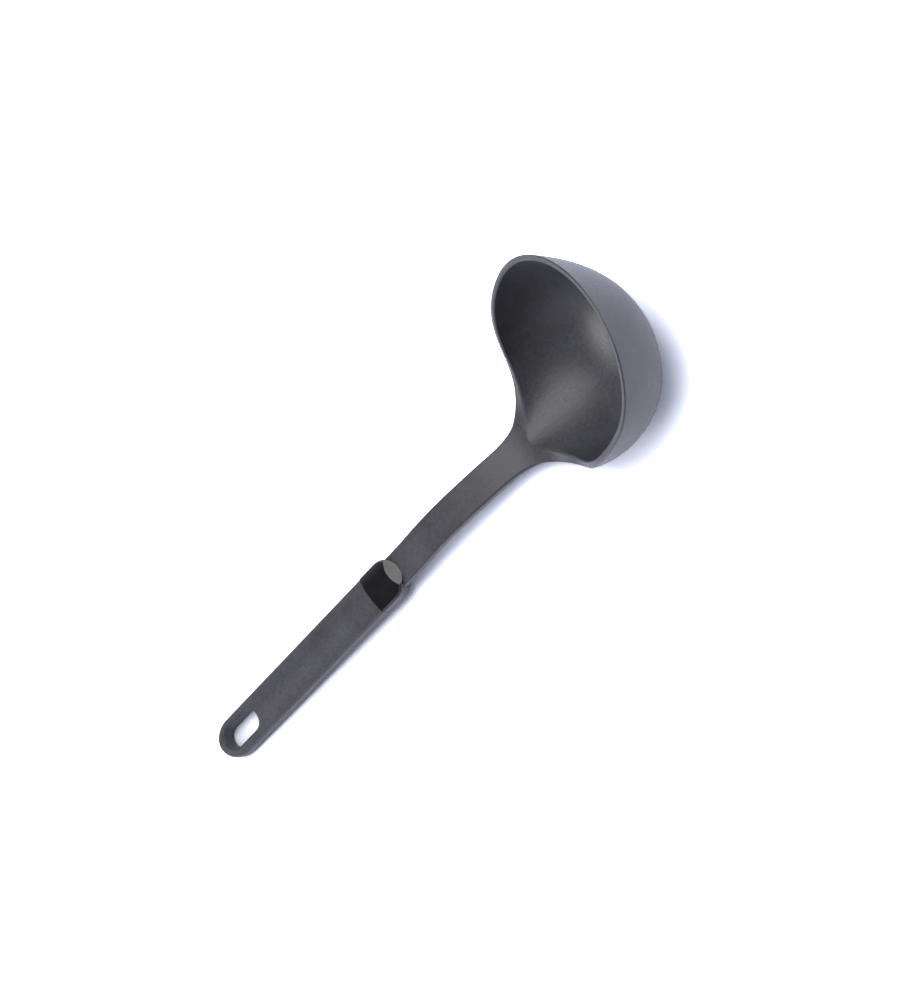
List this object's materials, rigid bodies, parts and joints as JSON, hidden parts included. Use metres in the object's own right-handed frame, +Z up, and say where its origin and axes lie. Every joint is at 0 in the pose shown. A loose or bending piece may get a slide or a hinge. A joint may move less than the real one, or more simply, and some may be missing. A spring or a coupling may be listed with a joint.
{
  "type": "soup ladle",
  "caption": "Moulded nylon soup ladle with a round deep bowl, a dipping throat, a flat shank, a dark collar and a grip with a hanging slot.",
  "frame": {"origin": "on the surface the ladle lies on, below the middle of the box that encloses it", "axes": "+X towards the bowl's front lip, -X towards the hanging end, +Z up, and the ladle is mirrored left and right across the plane Y = 0"},
  "size_m": [0.304, 0.09, 0.0815],
  "materials": {
    "nylon": "satin moulded nylon",
    "collar_gloss": "polished",
    "steel": "drawn"
  },
  "bodies": {
    "root": {"bowl_and_shank": "nylon", "grip": "nylon", "collar": "collar_gloss", "tang_pin": "steel"}
  },
  "joints": []
}
